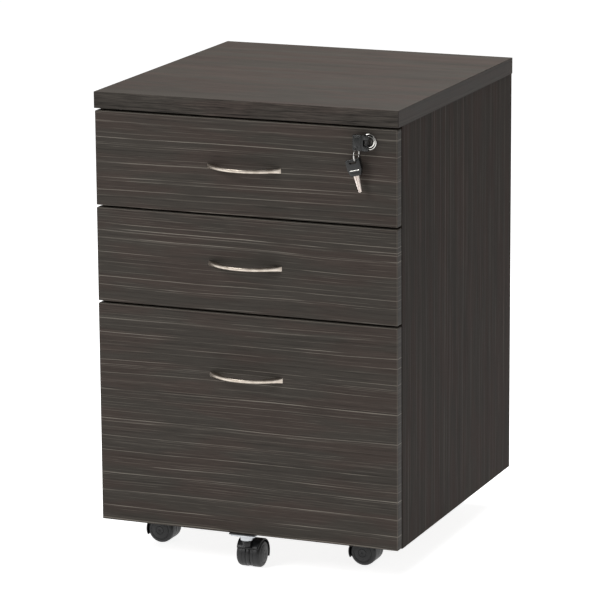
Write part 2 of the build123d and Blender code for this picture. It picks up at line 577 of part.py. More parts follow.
# The spare key hangs tilted, so that its weight is under the ring.
TILT = math.radians(SPARE_TILT)
SPARE_PLANE = Plane(origin=(RING_X, KEY_Y, HANG_Z), x_dir=(math.cos(TILT), 0, math.sin(TILT)),
                    z_dir=(0, -1, 0))
SPARE_TOP = SPARE_HEIGHT / 2 - SPARE_HANG_Z
SPARE_BOTTOM = SPARE_TOP - SPARE_HEIGHT
SHOULDER = SPARE_TOP - SPARE_SHOULDER * SPARE_HEIGHT
with BuildPart() as spare_blade:
    with BuildSketch(SPARE_PLANE):
        with BuildLine():
            Polyline((-SPARE_HANG_X - BLADE_WIDTH / 2, SPARE_BOTTOM + TANG),
                     (-SPARE_HANG_X + BLADE_WIDTH / 2, SPARE_BOTTOM + TANG),
                     (-SPARE_HANG_X + BLADE_WIDTH / 2, SPARE_BOTTOM),
                     (-SPARE_HANG_X + SPARE_BLADE_TIP / 2, SPARE_BOTTOM - SPARE_BLADE),
                     (-SPARE_HANG_X - SPARE_BLADE_TIP / 2, SPARE_BOTTOM - SPARE_BLADE),
                     (-SPARE_HANG_X - BLADE_WIDTH / 2, SPARE_BOTTOM), close=True)
        make_face()
    extrude(amount=BLADE_THICK / 2, both=True)
    tip_corners = spare_blade.edges().filter_by(Axis.Y).group_by(Axis.Z)[0]
    fillet(tip_corners, SPARE_BLADE_TIP / 4)
save(spare_blade, "spare_key_blade")

with BuildPart() as spare_head:
    with BuildSketch(SPARE_PLANE):
        with BuildLine():
            Polyline((-SPARE_HANG_X - SPARE_WIDTH / 2, SPARE_TOP),
                     (-SPARE_HANG_X + SPARE_WIDTH / 2, SPARE_TOP),
                     (-SPARE_HANG_X + SPARE_WIDTH / 2, SHOULDER),
                     (-SPARE_HANG_X + SPARE_TAPER / 2, SPARE_BOTTOM),
                     (-SPARE_HANG_X - SPARE_TAPER / 2, SPARE_BOTTOM),
                     (-SPARE_HANG_X - SPARE_WIDTH / 2, SHOULDER), close=True)
        make_face()
        fillet(vertices(), KEY_THICK / 3)
        with Locations((-SPARE_HANG_X, 0)):
            SlotOverall(SPARE_SLOT_WIDTH, SPARE_SLOT_HEIGHT, mode=Mode.SUBTRACT)
    extrude(amount=KEY_THICK / 2, both=True)
    with BuildSketch(SPARE_PLANE):
        with Locations((-SPARE_HANG_X, SPARE_BOTTOM + TANG / 2)):
            Rectangle(BLADE_WIDTH, TANG)
    extrude(amount=BLADE_THICK / 2, both=True, mode=Mode.SUBTRACT)
save(spare_head, "spare_key_head")

# --- Casters ---
HOOD_INNER = WHEEL_RADIUS + HOOD_GAP
HOOD_OUTER = HOOD_INNER + HOOD_WALL
WHEEL_IN = CASTER_WEB / 2 + WHEEL_GAP
WHEEL_OUT = CASTER_WIDTH / 2

# name, kingpin X, kingpin Y, direction in which the wheels trail, plate's top face
CASTERS = [
    ("front_left_caster", -CASTER_SPREAD, FRONT_CASTER_Y, 180.0, CASE_LIFT),
    ("front_right_caster", CASTER_SPREAD, FRONT_CASTER_Y, 180.0, CASE_LIFT),
    ("rear_left_caster", -CASTER_SPREAD, REAR_CASTER_Y, 180.0, CASE_LIFT),
    ("rear_right_caster", CASTER_SPREAD, REAR_CASTER_Y, 180.0, CASE_LIFT),
    ("fifth_caster", FIFTH_SIDE, FIFTH_Y, 90.0, LEAF_LOW),
]

for name, pin_x, pin_y, trail_angle, plate_top in CASTERS:
    trail = (math.cos(math.radians(trail_angle)), math.sin(math.radians(trail_angle)), 0)
    across = (-trail[1], trail[0], 0)
    profile_plane = Plane(origin=(pin_x, pin_y, 0), x_dir=trail, z_dir=(trail[1], -trail[0], 0))
    hub = (CASTER_TRAIL, WHEEL_RADIUS)

    with BuildPart() as body:
        with BuildSketch(profile_plane):
            with BuildLine():
                span = HOOD_NOSE_ANGLE - HOOD_LIP_ANGLE
                outer_arc = CenterArc(hub, HOOD_OUTER, HOOD_LIP_ANGLE, span)
                inner_arc = CenterArc(hub, HOOD_INNER, HOOD_LIP_ANGLE, span)
                Line(outer_arc @ 0, inner_arc @ 0)
                Line(outer_arc @ 1, inner_arc @ 1)
            make_face()
        extrude(amount=HOOD_WIDTH / 2, both=True)
        with BuildSketch(profile_plane):
            with Locations(hub):
                Circle(WHEEL_RADIUS)
                with Locations((0, -WHEEL_RADIUS)):
                    Rectangle(3 * WHEEL_RADIUS, 2 * WEB_LOW, mode=Mode.SUBTRACT)
            with BuildLine():
                web_arc = CenterArc(hub, WHEEL_RADIUS / 2, HOOD_LIP_ANGLE, span)
                wall_arc = CenterArc(hub, HOOD_INNER + HOOD_WALL / 2, HOOD_LIP_ANGLE, span)
                Line(web_arc @ 0, wall_arc @ 0)
                Line(web_arc @ 1, wall_arc @ 1)
            make_face()
        extrude(amount=CASTER_WEB / 2, both=True)
        with BuildSketch(Plane.XY.offset(BOSS_BOTTOM)):
            with Locations((pin_x, pin_y)):
                Circle(BOSS_DIAMETER / 2)
        extrude(amount=BOSS_TOP - BOSS_BOTTOM)
        with BuildSketch(profile_plane):
            with Locations(hub):
                Circle(AXLE_DIAMETER / 2)
        extrude(amount=CASTER_WEB / 2, both=True, mode=Mode.SUBTRACT)
        with BuildSketch(Plane.XY.offset(BOSS_TOP - KINGPIN_DEPTH)):
            with Locations((pin_x, pin_y)):
                Circle(KINGPIN_DIAMETER / 2 + KINGPIN_CLEARANCE)
        extrude(amount=KINGPIN_DEPTH, mode=Mode.SUBTRACT)
    with BuildPart() as axle:
        with BuildSketch(profile_plane):
            with Locations(hub):
                Circle(AXLE_DIAMETER / 2)
        extrude(amount=WHEEL_OUT - AXLE_END - WHEEL_GAP, both=True)
    save_group([body, axle], name + "_body")

    # Each wheel is turned from its profile: bore, tread, round shoulder and domed face.
    for side, sign in (("left", -1), ("right", 1)):
        outward = tuple(sign * part for part in across)
        axle_plane = Plane(origin=profile_plane.from_local_coords(Vector(*hub, 0)),
                           x_dir=outward, z_dir=tuple(sign * part for part in trail))
        bore = AXLE_DIAMETER / 2 + AXLE_CLEARANCE
        with BuildPart() as wheel:
            with BuildSketch(axle_plane):
                with BuildLine():
                    Line((WHEEL_IN, bore), (WHEEL_IN, WHEEL_RADIUS - TREAD_ROUND))
                    RadiusArc((WHEEL_IN, WHEEL_RADIUS - TREAD_ROUND),
                              (WHEEL_IN + TREAD_ROUND, WHEEL_RADIUS), TREAD_ROUND)
                    Line((WHEEL_IN + TREAD_ROUND, WHEEL_RADIUS),
                         (WHEEL_OUT - DOME - SHOULDER_ROUND, WHEEL_RADIUS))
                    RadiusArc((WHEEL_OUT - DOME - SHOULDER_ROUND, WHEEL_RADIUS),
                              (WHEEL_OUT - DOME, WHEEL_RADIUS - SHOULDER_ROUND), SHOULDER_ROUND)
                    Line((WHEEL_OUT - DOME, WHEEL_RADIUS - SHOULDER_ROUND), (WHEEL_OUT, bore * 2))
                    Line((WHEEL_OUT, bore * 2), (WHEEL_OUT, 0))
                    Line((WHEEL_OUT, 0), (WHEEL_OUT - AXLE_END, 0))
                    Line((WHEEL_OUT - AXLE_END, 0), (WHEEL_OUT - AXLE_END, bore))
                    Line((WHEEL_OUT - AXLE_END, bore), (WHEEL_IN, bore))
                make_face()
            revolve(axis=Axis(axle_plane.origin, outward))
        save(wheel, name + "_" + side + "_wheel")


def make_plate(pin_x, pin_y, plate_top):
    """A square plate with rounded corners, its swivel cup and its kingpin."""
    under = plate_top - PLATE_THICK
    cup_low = BOSS_TOP + CUP_GAP
    with BuildPart() as plate:
        with Locations((pin_x, pin_y, plate_top - PLATE_THICK / 2)):
            Box(PLATE_SIZE, PLATE_SIZE, PLATE_THICK)
        fillet(plate.edges().filter_by(Axis.Z), PLATE_THICK * 2)
        with Locations((pin_x, pin_y, (under + cup_low) / 2)):
            Cone((CUP_DIAMETER - CUP_TAPER) / 2, CUP_DIAMETER / 2, under - cup_low)
        pin_low = BOSS_TOP - KINGPIN_DEPTH + CUP_GAP
        with Locations((pin_x, pin_y, (under + pin_low) / 2)):
            Cylinder(KINGPIN_DIAMETER / 2, under - pin_low)
        for hole_x, hole_y in plate_holes(pin_x, pin_y):
            with Locations((hole_x, hole_y, plate_top - PLATE_THICK / 2)):
                Cylinder(PLATE_SCREW / 2, PLATE_THICK, mode=Mode.SUBTRACT)
    return plate


save_group([make_plate(x, y, CASE_LIFT) for x, y in CASE_CASTERS], "caster_plates")
save(make_plate(FIFTH_SIDE, FIFTH_Y, LEAF_LOW), "fifth_caster_plate")

with BuildPart() as plate_screws:
    head_top = CASE_LIFT - PLATE_THICK
    shank_high = CASE_LIFT + PLATE_SCREW_LENGTH
    for pin_x, pin_y in CASE_CASTERS:
        for hole_x, hole_y in plate_holes(pin_x, pin_y):
            with Locations((hole_x, hole_y, head_top - PLATE_HEAD_THICK / 2)):
                Cylinder(PLATE_SCREW_HEAD / 2, PLATE_HEAD_THICK)
            with Locations((hole_x, hole_y, (head_top + shank_high) / 2)):
                Cylinder(PLATE_SCREW / 2, shank_high - head_top)
save(plate_screws, "caster_plate_screws")
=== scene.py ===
import json
import math

import bmesh
import bpy
import numpy as np
from mathutils import Matrix, Vector


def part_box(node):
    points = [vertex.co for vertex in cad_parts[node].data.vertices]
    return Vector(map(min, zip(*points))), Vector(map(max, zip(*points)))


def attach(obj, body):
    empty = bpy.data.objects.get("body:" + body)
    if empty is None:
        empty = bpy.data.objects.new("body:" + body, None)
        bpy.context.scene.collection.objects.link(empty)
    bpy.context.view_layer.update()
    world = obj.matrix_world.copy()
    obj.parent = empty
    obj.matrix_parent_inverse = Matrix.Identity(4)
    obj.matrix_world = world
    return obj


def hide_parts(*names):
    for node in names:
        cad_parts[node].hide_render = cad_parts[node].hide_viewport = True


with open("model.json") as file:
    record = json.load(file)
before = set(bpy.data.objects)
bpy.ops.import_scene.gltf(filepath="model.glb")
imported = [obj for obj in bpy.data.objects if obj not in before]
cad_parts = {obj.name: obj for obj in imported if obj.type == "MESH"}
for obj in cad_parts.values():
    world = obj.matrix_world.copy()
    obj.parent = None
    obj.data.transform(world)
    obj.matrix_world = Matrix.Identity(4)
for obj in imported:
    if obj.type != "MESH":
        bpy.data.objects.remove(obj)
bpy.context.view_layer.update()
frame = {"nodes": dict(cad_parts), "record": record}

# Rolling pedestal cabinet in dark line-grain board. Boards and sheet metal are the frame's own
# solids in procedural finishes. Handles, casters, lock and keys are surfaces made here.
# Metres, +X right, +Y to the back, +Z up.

MM = 0.001
MERGE = 1e-6                              # points closer than this are one point
CREASE = math.radians(35)                 # a sharper bend than this stays an edge


# --- Surfaces worked out on grids ---
def surface(name, points, around=False, along=False, ends=False):
    """A mesh from a grid of points, shape (rows, columns, 3).

    Cell (i, j) is the quad between rows i and i + 1 and columns j and j + 1. The columns close
    into a ring if around is set, the rows if along is set, and ends puts a flat face on the
    first and the last ring.
    """
    rows, columns = points.shape[:2]
    i = np.arange(rows if along else rows - 1)[:, None]
    j = np.arange(columns if around else columns - 1)[None, :]
    low, high = i * columns, (i + 1) % rows * columns
    near, far = j, (j + 1) % columns
    quads = np.stack([low + near, low + far, high + far, high + near], axis=-1).reshape(-1, 4)
    faces = quads.tolist()
    if ends:
        faces.append(list(range(columns))[::-1])
        faces.append(list(range((rows - 1) * columns, rows * columns)))
    mesh = bpy.data.meshes.new(name)
    mesh.from_pydata(points.reshape(-1, 3).tolist(), [], faces)
    tidy_normals(mesh)
    piece = bpy.data.objects.new(name, mesh)
    bpy.context.scene.collection.objects.link(piece)
    return piece


def tidy_normals(mesh):
    """Merge doubled points, turn every face outwards and shade smooth up to 35 degrees."""
    work = bmesh.new()
    work.from_mesh(mesh)
    bmesh.ops.remove_doubles(work, verts=work.verts, dist=MERGE)
    bmesh.ops.recalc_face_normals(work, faces=work.faces)
    for face in work.faces:
        face.smooth = True
    for edge in work.edges:
        edge.smooth = edge.calc_face_angle(0.0) < CREASE
    work.to_mesh(mesh)
    work.free()


def joined(name, parts):
    """One object from several, with their meshes together."""
    mesh = bpy.data.meshes.new(name)
    work = bmesh.new()
    for part in parts:
        work.from_mesh(part.data)
        bpy.data.objects.remove(part)
    work.to_mesh(mesh)
    work.free()
    piece = bpy.data.objects.new(name, mesh)
    bpy.context.scene.collection.objects.link(piece)
    return piece


def bend_corners(corners, radii, steps=6, closed=False):
    """A path through corner points whose corners are circular arcs.

    At each corner the arc touches both runs at radius / tan(half the angle between them), and
    its points step evenly round the arc's centre, which lies on the angle's bisector.
    """
    corners = np.asarray(corners, float)
    radii = np.broadcast_to(np.asarray(radii, float), len(corners))
    path = []
    for k, (corner, radius) in enumerate(zip(corners, radii)):
        if radius == 0 or (not closed and k in (0, len(corners) - 1)):
            path.append(corner[None])
            continue
        back = corners[k - 1] - corner
        ahead = corners[(k + 1) % len(corners)] - corner
        back, ahead = back / np.linalg.norm(back), ahead / np.linalg.norm(ahead)
        half = np.arccos(np.clip(back @ ahead, -1, 1)) / 2
        middle = (back + ahead) / np.linalg.norm(back + ahead)
        centre = corner + middle * radius / np.sin(half)
        start = corner + back * radius / np.tan(half) - centre
        end = corner + ahead * radius / np.tan(half) - centre
        turn = np.arctan2(start[0] * end[1] - start[1] * end[0], start @ end)
        angle = np.linspace(0, turn, steps + 1)[:, None]
        path.append(centre + np.cos(angle) * start
                    + np.sin(angle) * np.array([-start[1], start[0]]))
    return np.concatenate(path)


def turned(name, profile, centre, axis, segments=72):
    """A profile of (distance along the axis, radius) turned round the axis through centre."""
    axis = np.asarray(axis, float)
    side = np.cross(axis, [0.0, 0.6, 0.8])
    side /= np.linalg.norm(side)
    up = np.cross(axis, side)
    angle = np.linspace(0, 2 * np.pi, segments, endpoint=False)[None, :, None]
    ring = np.cos(angle) * side + np.sin(angle) * up
    profile = np.asarray(profile, float)
    points = centre + profile[:, :1, None] * axis + profile[:, 1:, None] * ring
    return surface(name, points, around=True)


def slab(name, outline, plane, thickness, edge, steps=4, hole=None):
    """A flat piece with a rounded rim, and optionally one hole.

    The outline is a closed path in the plane (origin, across, up, normal). Round the rim, a
    point moves in along the outline's normal by edge * (1 - cos t) while it rises by
    edge * sin t. A hole is a path with as many points as the outline.
    """
    origin, across, up, normal = (np.asarray(v, float) for v in plane)
    ahead = np.roll(outline, -1, axis=0) - np.roll(outline, 1, axis=0)
    inward = np.stack([-ahead[:, 1], ahead[:, 0]], axis=1)
    inward /= np.linalg.norm(inward, axis=1)[:, None]
    centre = outline.mean(axis=0)
    if ((centre - outline) * inward).sum() < 0:
        inward = -inward
    t = np.linspace(-np.pi / 2, np.pi / 2, 2 * steps + 1)
    rim = outline[None] + (edge * (1 - np.cos(t)))[:, None, None] * inward[None]
    height = edge * np.sin(t) + np.where(t < 0, -1, 1) * (thickness / 2 - edge)
    height[steps] = 0
    rows = [rim]
    level = [np.repeat(height[:, None], len(outline), axis=1)]
    if hole is not None:
        rows += [hole[None], hole[None]]
        full = np.full((1, len(outline)), thickness / 2)
        level += [full, -full]
    flat = np.concatenate(rows)
    level = np.concatenate(level)[..., None]
    points = origin + flat[..., :1] * across + flat[..., 1:] * up + level * normal
    return surface(name, points, around=True, along=hole is not None, ends=hole is None)


def tube(name, path, radius, sides=14, closed=False):
    """A round tube: each ring lies square to the path, in the frame of tangent and a side."""
    path = np.asarray(path, float)
    ahead = np.gradient(path, axis=0)
    if closed:
        ahead = np.roll(path, -1, axis=0) - np.roll(path, 1, axis=0)
    ahead /= np.linalg.norm(ahead, axis=1)[:, None]
    side = np.cross(ahead, [0.31, 0.17, 0.93])
    side /= np.linalg.norm(side, axis=1)[:, None]
    up = np.cross(side, ahead)
    angle = np.linspace(0, 2 * np.pi, sides, endpoint=False)[None, :, None]
    ring = np.cos(angle) * side[:, None] + np.sin(angle) * up[:, None]
    points = path[:, None] + radius * ring
    return surface(name, points, around=True, along=closed, ends=not closed)


def softened(node, edge, name=None):
    """A copy of a CAD node with merged points, flat faces joined and a fine rounded edge."""
    mesh = frame["nodes"][node].data.copy()
    work = bmesh.new()
    work.from_mesh(mesh)
    bmesh.ops.remove_doubles(work, verts=work.verts, dist=MERGE)
    bmesh.ops.dissolve_limit(work, angle_limit=math.radians(0.5), verts=work.verts,
                             edges=work.edges)
    for face in work.faces:
        face.smooth = True
    for bend in work.edges:
        bend.smooth = bend.calc_face_angle(0.0) < CREASE
    work.to_mesh(mesh)
    work.free()
    piece = bpy.data.objects.new(name or node + "_shape", mesh)
    bpy.context.scene.collection.objects.link(piece)
    rounding = piece.modifiers.new("edge", "BEVEL")
    rounding.width = edge
    rounding.segments = 2
    rounding.limit_method = "ANGLE"
    rounding.angle_limit = CREASE
    rounding.harden_normals = True
    place(piece, node)
    return piece


def place(piece, *nodes):
    """The piece stands for these CAD nodes, hides them and rides with them."""
    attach(piece, NODE_BODY[nodes[0]])
    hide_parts(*nodes)


NODE_BODY = {node: body for body, nodes in frame["record"]["behaviour"]["bodies"].items()
             for node in nodes}
NODE_SLOT = {part["node"]: part["material_slot"] for part in frame["record"]["subparts"]}


def corners(node):
    """Lowest and highest corner of a CAD node as arrays."""
    low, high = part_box(node)
    return np.array(low), np.array(high)


# --- Shader maths ---
class Signal:
    """A shader socket in an expression; each operator adds the Math node that it stands for."""

    def __init__(self, finish, socket):
        self.finish, self.socket = finish, socket

    def math(self, operation, *values):
        return self.finish.node("Math", {"operation": operation}, dict(enumerate(values)))

    def __add__(self, other):
        return self.math("ADD", self, other)

    def __sub__(self, other):
        return self.math("SUBTRACT", self, other)

    def __rsub__(self, other):
        return self.math("SUBTRACT", other, self)

    def __mul__(self, other):
        return self.math("MULTIPLY", self, other)

    def __truediv__(self, other):
        return self.math("DIVIDE", self, other)

    def __pow__(self, other):
        return self.math("POWER", self, other)

    def __abs__(self):
        return self.math("ABSOLUTE", self)

    __radd__, __rmul__ = __add__, __mul__

    def step(self, low, high):
        """0 below low, 1 above high, and smooth between; low above high turns it round."""
        return self.finish.node("MapRange", {"interpolation_type": "SMOOTHSTEP"},
                                {0: self, 1: low, 2: high})


class Finish:
    """A material whose principled shader takes constants first and worked out signals later."""

    def __init__(self, name, **constants):
        self.material = bpy.data.materials.new(name)
        self.material.use_nodes = True
        self.tree = self.material.node_tree
        self.shader = self.tree.nodes["Principled BSDF"]
        for socket, value in constants.items():
            self.shader.inputs[socket.replace("_", " ")].default_value = value
        self.place = self.node("TexCoord", {}, {}, out="Object")

    def node(self, kind, settings, sockets, out=0):
        """Any shader node: its settings first, then the values or links of its sockets."""
        node = self.tree.nodes.new("ShaderNode" + kind)
        for name, value in settings.items():
            setattr(node, name, value)
        for key, value in sockets.items():
            if isinstance(value, Signal):
                self.tree.links.new(value.socket, node.inputs[key])
            else:
                node.inputs[key].default_value = value
        return Signal(self, node.outputs[out])

    def at(self, scale=(1, 1, 1), offset=(0, 0, 0), turn=(0, 0, 0), vector=None):
        """Object coordinates, turned, stretched and shifted."""
        return self.node("Mapping", {}, {"Vector": vector or self.place, "Location": offset,
                                         "Rotation": turn, "Scale": scale})

    def noise(self, vector, scale=1.0, detail=2.0, roughness=0.5):
        return self.node("TexNoise", {}, {"Vector": vector, "Scale": scale, "Detail": detail,
                                          "Roughness": roughness})

    def vector(self, x, y, z):
        return self.node("CombineXYZ", {}, {0: x, 1: y, 2: z})

    def split(self, vector):
        """The three numbers of a vector."""
        x = self.node("SeparateXYZ", {}, {0: vector})
        return x, *(Signal(self, x.socket.node.outputs[axis]) for axis in (1, 2))

    def mix(self, low, high, factor):
        """From the colour low to the colour high as factor goes from 0 to 1."""
        return self.node("Mix", {"data_type": "RGBA"}, {0: factor, 6: low, 7: high}, out=2)

    def tinted(self, colour, factor):
        """A colour made lighter or darker by a signal round 1."""
        scale = self.vector(factor, factor, factor)
        if not isinstance(colour, Signal):
            colour = colour[:3]
        return self.node("VectorMath", {"operation": "MULTIPLY"}, {0: colour, 1: scale})

    def bump(self, height, distance, strength=1.0, under=None):
        sockets = {"Height": height, "Distance": distance, "Strength": strength}
        if under:
            sockets["Normal"] = under
        return self.node("Bump", {}, sockets)

    def feed(self, **signals):
        """Join signals to the shader's sockets."""
        for socket, signal in signals.items():
            self.tree.links.new(signal.socket, self.shader.inputs[socket.replace("_", " ")])
        return self.material


def tone(red, green, blue):
    """A display colour, 0 to 255, as the linear colour that the shaders use."""
    display = np.array([red, green, blue]) / 255
    linear = np.where(display < 0.04045, display / 12.92, ((display + 0.055) / 1.055) ** 2.4)
    return (*linear.tolist(), 1.0)


# --- Board ---
GRAIN_X = (0, 0, 0)                      # grain runs along X
GRAIN_Z = (0, math.radians(90), 0)       # grain runs along Z


def printed_lines(board, along, across, pitch, width, seed, shortest):
    """Long thin lines across the sheet: one in every strip of the pitch's width.

    A line's place in its strip and its strength are the strip's own random numbers, and a noise
    that is stretched along the grain and differs from strip to strip lets it fade and return.
    """
    strip = across / pitch + seed
    number = strip.math("FLOOR", strip)
    chance = board.node("TexWhiteNoise", {"noise_dimensions": "1D"}, {"W": number})
    strength = board.node("TexWhiteNoise", {"noise_dimensions": "1D"}, {"W": number + 0.37})
    away = abs(strip.math("FRACT", strip) - (0.15 + 0.7 * chance)) * pitch
    run = board.vector(along / shortest, number * 7.31, seed)
    fade = board.noise(run, detail=2.0, roughness=0.6)
    return away.step(width, width * 0.15) * strength.step(0.1, 0.8) * fade.step(0.34, 0.6)


END_PAINTED_SHADE, BAND_SHADE = 0.6, 0.86        # painted shade on the end faces of tops and fronts, and how much darker a top's band is


def melamine(name, turn, shift, base, line, pale=1.0, spread=(0, 1), band=None, ior=1.2):
    """Textured board with a printed line grain that runs along the turned X axis.

    The coordinate across the grain is the spread's sum of the other two axes, bent by a slow
    noise. The masks |normal X| and |normal Y| find the end faces and the front and back faces. A
    top's spread takes both axes, and its end faces turn to the edge band's own grain. Tops and
    fronts get painted shade on their end faces, and a top's band is darker with stronger fibres.
    Three sets of lines, from strong and far apart to faint and close, and a dark set lie over fine
    fibres.
    Shift picks the sheet. Band is the X and Z past which a front's painted highlight shows along
    its right and top edges.
    """
    board = Finish(name, IOR=ior, Specular_IOR_Level=0.4)
    along, side, height = board.split(board.at(offset=shift, turn=turn))
    across = spread[0] * side + spread[1] * height
    facing = board.split(board.node("NewGeometry", {}, {}, out="Normal"))
    end, lip = (abs(facing[axis]).step(0.5, 0.8) for axis in (0, 1))
    if spread == (1, 1):
        along = along + (side - along) * end
        across = across - side * end
    slow = board.noise(board.vector(along * 2.6, across * 9, 0.4), detail=1.0)
    quick = board.noise(board.vector(along * 17, across * 40, 5.1), detail=2.0)
    across = across + 0.013 * slow + 0.0012 * quick
    flat = board.vector(along, across, side)
    strong = printed_lines(board, along, across, 0.0215, 0.00085, 3.0, 0.19)
    middle = printed_lines(board, along, across, 0.0117, 0.0007, 41.0, 0.13)
    faint = printed_lines(board, along, across, 0.0037, 0.0006, 97.0, 0.06)
    dark = printed_lines(board, along, across, 0.0091, 0.0012, 153.0, 0.07)
    fibre = board.noise(board.at((26, 900, 60), vector=flat), detail=3.0, roughness=0.65)
    hair = board.noise(board.at((90, 3000, 200), vector=flat), detail=2.0, roughness=0.7)
    cloud = board.noise(board.at((3.2, 34, 5), vector=flat), detail=2.0)
    warmth = board.noise(board.at((7, 38, 9), (4, 1, 2), vector=flat), detail=1.0)
    ground = board.mix(tone(*base), tone(base[0] + 3, base[1] - 1, base[2] - 1),
                       warmth.step(0.4, 0.62))
    light = 0.17 + 1.08 * fibre + 0.46 * cloud - 0.34 * dark
    # Painted shade on a top's end faces; its band is darker with stronger fibres.
    if spread == (1, 1):
        light = light * (1 - END_PAINTED_SHADE * end) + lip * (0.9 * fibre - BAND_SHADE)
    # Painted shade on a front's end faces.
    if band:
        light = light * (1 - END_PAINTED_SHADE * end)
    ground = board.tinted(ground, light)
    shown = strong * 0.85 + middle * 0.6 + faint * 0.32
    colour = board.mix(ground, tone(*line), (shown * (0.55 + 0.7 * hair) * pale).step(-0.15, 1.25))
    # Painted highlight: a pale line along a front's right and top edges, where the rounded edge
    # band catches the light; fainter on the end faces.
    if band:
        right, _, upper = board.split(board.place)
        right = right.step(band[0] - 0.0004, band[0] + 0.0002)
        upper = upper.step(band[1] - 0.0004, band[1] + 0.0002)
        edge_highlight = right.math("MAXIMUM", right, upper) * (0.25 + 0.9 * cloud) * (1 - 0.9 * end)
        colour = board.mix(colour, tone(104, 99, 92), edge_highlight)
    relief = board.bump(fibre * 0.6 + hair * 0.5 - shown * 0.5, 0.00012, 0.5)
    return board.feed(Base_Color=colour, Roughness=0.42 + 0.16 * fibre + 0.06 * hair,
                      Normal=relief)


BASE, LINE = (55, 51, 47), (139, 133, 124)
# Painted light: the top's ground colour is lighter than the fronts' BASE of the same board, for the
# light on its upper face.
TOP_FINISH_PAINTED_LIGHT = melamine("top_board_painted_light", GRAIN_X, (0.31, 0.17, 0.9), (74, 69, 64), (108, 102, 96), 0.34,
                      spread=(1, 1))
# Painted shade: the sides' ground and line colours are darker than the fronts' of the same board,
# for the shade on the side faces.
SIDE_FINISH_PAINTED_SHADE = melamine("side_board_painted_shade", GRAIN_Z, (0.2, 0.83, 0.44), (42, 38, 35), (96, 90, 84), 1.0,
                       spread=(1, 0), ior=1.08)
BACK_FINISH = melamine("back_board", GRAIN_Z, (1.7, 0.2, 0.6), (54, 50, 46), (108, 103, 97), 0.8)
BOTTOM_FINISH = melamine("bottom_board", GRAIN_X, (2.2, 0.9, 1.4), BASE, LINE, spread=(1, 0))


def front_board(drawer, shift):
    """The board of a drawer front, with a painted highlight along the right and top edges of its
    edge band.
    """
    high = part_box(drawer + "_front")[1]
    return melamine(drawer + "_board", GRAIN_X, shift, BASE, LINE,
                    band=(high[0] - 0.001, high[2] - 0.001))


FRONT_FINISHES = {drawer: front_board(drawer, shift)
                  for drawer, shift in (("top_drawer", (0.4, 0.33, 0.12)),
                                        ("middle_drawer", (1.3, 0.56, 0.71)),
                                        ("file_drawer", (2.6, 1.21, 0.35)))}


def drawer_board():
    """Plain grey board for the drawer boxes: a fine pebbled sheet with faint mottling."""
    board = Finish("drawer_board", IOR=1.45)
    pebble = board.noise(board.place, 1500, 2.0, 0.6)
    mottle = board.noise(board.place, 35, 3.0, 0.6)
    shade = board.mix(tone(172, 170, 165), tone(186, 184, 180), mottle.step(0.3, 0.7))
    return board.feed(Base_Color=board.tinted(shade, 0.94 + 0.1 * pebble),
                      Roughness=0.44 + 0.16 * pebble,
                      Normal=board.bump(pebble, 0.00006, 0.5))


def satin_metal(name, dull, bright, roughness, brush=(1, 1, 1), specks=0.0, wear=0.04):
    """Plated metal: fine brushing stretched along the piece, slow stains and worn patches."""
    metal = Finish(name, Metallic=1.0)
    strokes = metal.noise(metal.at(brush), 1400, 2.0, 0.6)
    stain = metal.noise(metal.place, 90, 3.0, 0.6)
    worn = metal.noise(metal.place, 420, 2.0, 0.6)
    shade = metal.mix(tone(*dull), tone(*bright), stain.step(0.32, 0.68))
    shade = metal.tinted(shade, 0.94 + 0.1 * strokes - specks * worn.step(0.62, 0.72))
    gloss = roughness - 0.07 + 0.11 * strokes + wear * stain + specks * 0.4 * worn
    return metal.feed(Base_Color=shade, Roughness=gloss,
                      Normal=metal.bump(strokes * 0.7 + worn * 0.3, 0.00003, 0.4))


def moulded(name, colour, roughness, grain=2200, depth=0.00004, scuffs=0.1, speckle=0.12):
    """Moulded plastic: fine spark grain, faint flow marks, and paler, rougher scuffs."""
    plastic = Finish(name, IOR=1.48)
    spark = plastic.noise(plastic.place, grain, 2.0, 0.65)
    flow = plastic.noise(plastic.place, 60, 2.0, 0.5)
    scuff = plastic.noise(plastic.at((1, 1, 3.5)), 260, 3.0, 0.7).step(0.58, 0.76)
    shade = plastic.tinted(tone(*colour), 1.0 - speckle / 2 + speckle * spark + 0.2 * (flow - 0.5))
    shade = plastic.mix(shade, tone(*(min(255, c + 34) for c in colour)), scuff * scuffs)
    return plastic.feed(Base_Color=shade,
                        Roughness=roughness - 0.05 + 0.1 * spark + 0.25 * scuffs * scuff,
                        Normal=plastic.bump(spark, depth, 0.6))


BOX_FINISH = drawer_board()
NICKEL = satin_metal("satin_nickel", (180, 169, 157), (206, 196, 184), 0.31, (0.04, 1, 1))
LOCK_METAL = satin_metal("lock_nickel", (205, 203, 198), (228, 226, 221), 0.16)
PLUG_METAL = satin_metal("plug_zinc", (112, 110, 106), (142, 139, 134), 0.36)
ZINC = satin_metal("zinc_plate", (176, 180, 184), (206, 209, 212), 0.28, (1, 0.2, 1), 0.12, 0.1)
RUNNER_ZINC = satin_metal("runner_zinc", (160, 164, 168), (190, 194, 198), 0.33, (1, 0.02, 1), 0.1)
STEEL = satin_metal("blade_steel", (196, 184, 176), (224, 214, 207), 0.22, (1, 1, 0.08))
HINGE = satin_metal("hinge_steel", (44, 44, 44), (66, 65, 64), 0.38)
WIRE = satin_metal("ring_steel", (186, 184, 180), (216, 214, 210), 0.18)
BLACK_STEEL = moulded("black_enamel", (26, 26, 27), 0.38, 900, 0.00005, 0.25)
CASTER_PLASTIC = moulded("caster_plastic", (17, 17, 18), 0.38, 1500, 0.00004, 0.12)
TREAD_PLASTIC = moulded("tread_plastic", (25, 25, 26), 0.45, 1100, 0.00006, 0.5)
KEY_PLASTIC = moulded("key_plastic", (19, 20, 19), 0.27, 1800, 0.00003, 0.08)
WHITE_PLASTIC = moulded("white_plastic", (216, 214, 207), 0.4, 1600, 0.00003, 0.1)

